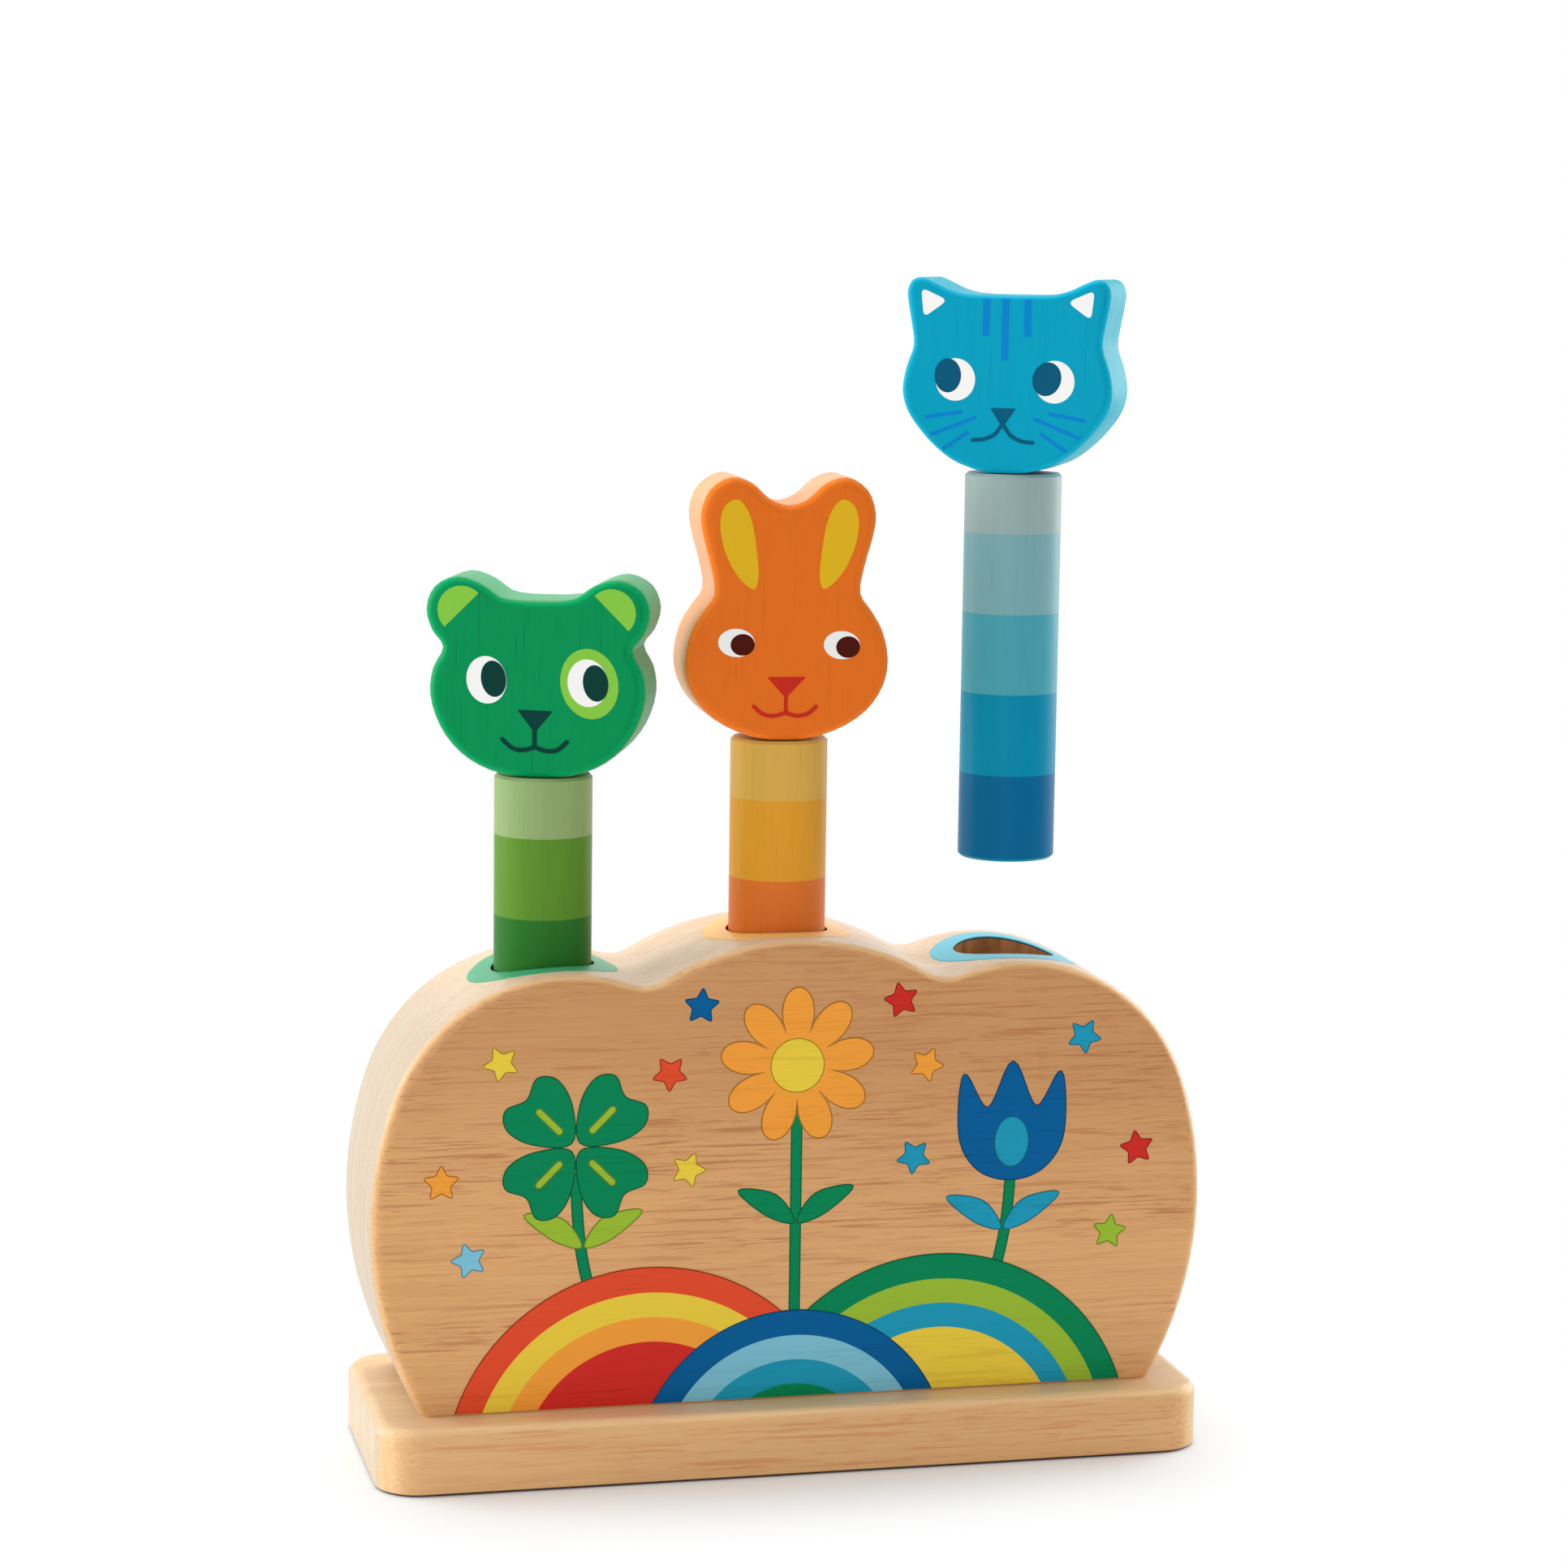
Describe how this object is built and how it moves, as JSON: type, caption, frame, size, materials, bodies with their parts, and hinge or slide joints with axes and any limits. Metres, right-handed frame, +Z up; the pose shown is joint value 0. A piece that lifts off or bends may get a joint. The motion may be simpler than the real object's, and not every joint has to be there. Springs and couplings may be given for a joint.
{
  "type": "pop up peg toy",
  "caption": "Wooden pop up toy: animal headed pegs on springs in a hill shaped block on a flat base plate.",
  "frame": {"origin": "middle of the base plate's flat underside, in the plane that the toy stands on", "axes": "+X along the row of pegs towards the cat, +Y to the plain back, +Z up along the pegs"},
  "size_m": [0.2176, 0.074, 0.3024],
  "materials": {
    "base_wood": "satin lacquer",
    "block_wood": "satin lacquer with a printed front",
    "dowel_wood": "bare",
    "screw_steel": "zinc plated",
    "spring_steel": "bright drawn wire",
    "green_paint": "satin painted wood",
    "orange_paint": "satin painted wood",
    "blue_paint": "satin painted wood"
  },
  "bodies": {
    "root": {"base_plate": "base_wood", "hill_block": "block_wood", "left_block_dowel": "dowel_wood", "right_block_dowel": "dowel_wood", "left_screw": "screw_steel", "right_screw": "screw_steel"},
    "bear_spring_top": {"bear_spring": "spring_steel"},
    "bear_peg": {"bear_shaft": "green_paint"},
    "bear_face": {"bear_head": "green_paint", "bear_dowel": "dowel_wood"},
    "rabbit_spring_top": {"rabbit_spring": "spring_steel"},
    "rabbit_peg": {"rabbit_shaft": "orange_paint"},
    "rabbit_face": {"rabbit_head": "orange_paint", "rabbit_dowel": "dowel_wood"},
    "cat_spring_top": {"cat_spring": "spring_steel"},
    "cat_peg": {"cat_shaft": "blue_paint"},
    "cat_face": {"cat_head": "blue_paint", "cat_dowel": "dowel_wood"}
  },
  "joints": [
    {"name": "bear_press", "type": "slide", "parent": "root", "child": "bear_spring_top", "axis": [0, 0, 1], "range_m": [-0.036, 0], "stiffness_N_per_m": 300, "springref_m": 0.002, "deforming": ["bear_spring"]},
    {"name": "bear_lift", "type": "slide", "parent": "bear_spring_top", "child": "bear_peg", "axis": [0, 0, 1], "range_m": [0, 0.076]},
    {"name": "bear_turn", "type": "hinge", "parent": "bear_peg", "child": "bear_face", "pos_m": [-0.0613, 0, 0.1768], "axis": [0, 0, 1], "continuous": true},
    {"name": "rabbit_press", "type": "slide", "parent": "root", "child": "rabbit_spring_top", "axis": [0, 0, 1], "range_m": [-0.036, 0], "stiffness_N_per_m": 300, "springref_m": 0.002, "deforming": ["rabbit_spring"]},
    {"name": "rabbit_lift", "type": "slide", "parent": "rabbit_spring_top", "child": "rabbit_peg", "axis": [0, 0, 1], "range_m": [0, 0.076]},
    {"name": "rabbit_turn", "type": "hinge", "parent": "rabbit_peg", "child": "rabbit_face", "pos_m": [0, 0, 0.185], "axis": [0, 0, 1], "continuous": true},
    {"name": "cat_press", "type": "slide", "parent": "root", "child": "cat_spring_top", "axis": [0, 0, 1], "range_m": [-0.036, 0], "stiffness_N_per_m": 300, "deforming": ["cat_spring"]},
    {"name": "cat_lift", "type": "slide", "parent": "cat_spring_top", "child": "cat_peg", "axis": [0, 0, 1], "range_m": [-0.075, 0]},
    {"name": "cat_turn", "type": "hinge", "parent": "cat_peg", "child": "cat_face", "pos_m": [0.0613, 0, 0.253], "axis": [0, 0, 1], "continuous": true}
  ]
}
